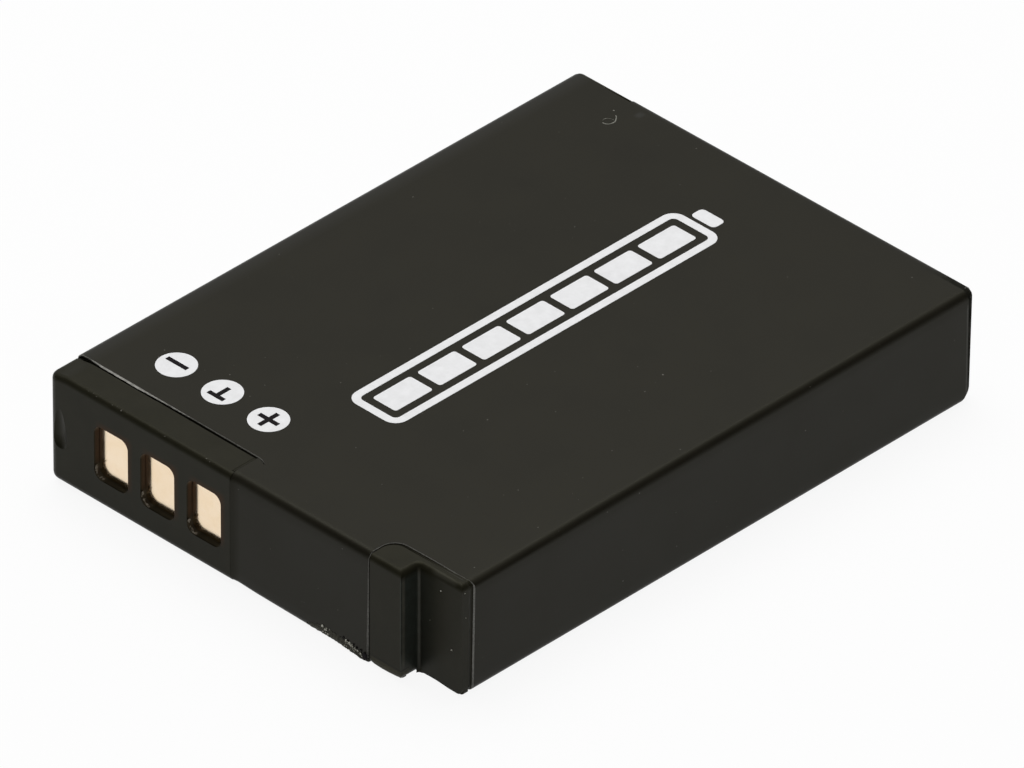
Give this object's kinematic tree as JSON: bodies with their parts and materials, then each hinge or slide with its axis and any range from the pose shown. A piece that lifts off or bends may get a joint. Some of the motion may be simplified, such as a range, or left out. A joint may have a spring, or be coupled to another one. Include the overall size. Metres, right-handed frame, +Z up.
{
  "type": "camera battery",
  "caption": "Flat rechargeable camera battery: film-wrapped prismatic cell with a moulded contact cap, windowed gold contacts and a stepped key corner.",
  "frame": {"origin": "middle of the underside", "axes": "+X along the length away from the contact end, +Y across the width towards the contacts, +Z up through the thickness"},
  "size_m": [0.0436, 0.0322, 0.0077],
  "materials": {
    "film": "satin printed film",
    "cap_plastic": "fine moulded grain",
    "contact_gold": "satin gold plating",
    "tape": "adhesive pad",
    "can_aluminium": "drawn",
    "gasket_plastic": "moulded",
    "strip_nickel": "rolled nickel",
    "fibre_sheet": "fibre board",
    "cutoff_plastic": "moulded",
    "board_laminate": "coated laminate",
    "chip_plastic": "moulded",
    "chip_ceramic": "fired"
  },
  "bodies": {
    "root": {"wrap_label": "film", "terminal_cap": "cap_plastic", "contact_negative": "contact_gold", "contact_thermistor": "contact_gold", "contact_positive": "contact_gold", "rear_cap": "cap_plastic", "rear_tape": "tape", "cell_can": "can_aluminium", "rivet_gasket": "gasket_plastic", "terminal_rivet": "strip_nickel", "fill_plug": "can_aluminium", "lid_insulator": "fibre_sheet", "negative_tab": "strip_nickel", "thermal_cutoff": "cutoff_plastic", "board_lead": "strip_nickel", "positive_tab": "strip_nickel", "protection_board": "board_laminate", "protection_chip": "chip_plastic", "switch_transistors": "chip_plastic", "chip_resistors": "chip_ceramic", "chip_capacitors": "chip_ceramic", "thermistor": "chip_ceramic"}
  },
  "joints": []
}
